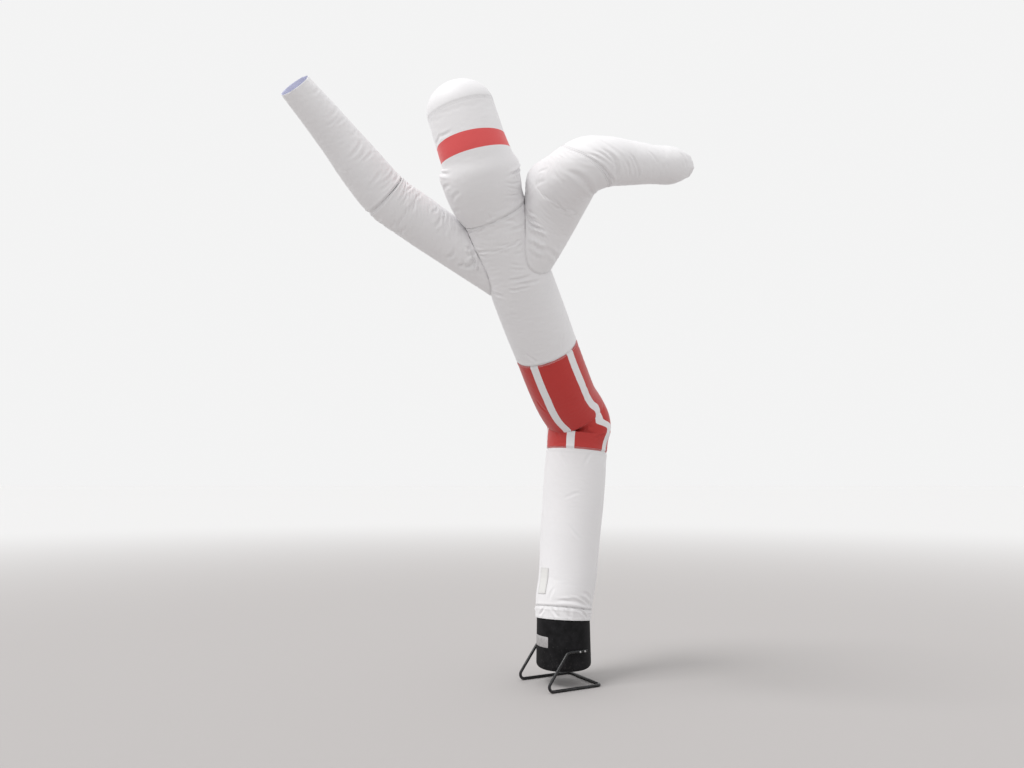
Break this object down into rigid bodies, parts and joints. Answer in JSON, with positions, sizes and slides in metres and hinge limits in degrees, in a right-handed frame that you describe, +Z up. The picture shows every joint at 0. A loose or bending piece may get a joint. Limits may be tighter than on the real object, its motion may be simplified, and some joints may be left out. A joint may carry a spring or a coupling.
{
  "type": "inflatable air dancer on its drum blower",
  "caption": "Air-filled sewn cloth tube figure with two arms, bent at the trunk, standing on a drum blower with a bent tube stand.",
  "frame": {"origin": "on the floor, under the middle of the whole object's box", "axes": "+Z up, -Y towards the side that the picture shows, +X to the right of that view"},
  "size_m": [2.9358, 2.0866, 4.6575],
  "materials": {
    "white_cloth": "coated ripstop cloth, soft sheen",
    "striped_cloth": "coated ripstop cloth printed with red and white stripes",
    "patch_cloth": "thin blank patch, slightly glossy",
    "black_shell": "matte black paint, dusty",
    "black_tube": "gloss black powder coat",
    "bright_steel": "zinc plated",
    "plate_grey": "silver grey, satin",
    "black_plastic": "moulded, matte"
  },
  "bodies": {
    "root": {"sleeve_cuff": "white_cloth", "lower_body": "white_cloth", "striped_body": "striped_cloth", "upper_body": "white_cloth", "head": "white_cloth", "crown": "white_cloth", "arm_left_upper": "white_cloth", "arm_left_fore": "white_cloth", "arm_right_upper": "white_cloth", "arm_right_fore": "white_cloth", "body_patch": "patch_cloth", "blower_drum": "black_shell", "intake_guard": "black_tube", "motor_pod": "black_shell", "blank_plate": "plate_grey", "cable_gland": "black_plastic", "stand_tube": "black_tube", "stand_bolt_1": "bright_steel", "stand_bolt_2": "bright_steel", "stand_bolt_3": "bright_steel", "stand_bolt_4": "bright_steel"}
  },
  "joints": []
}
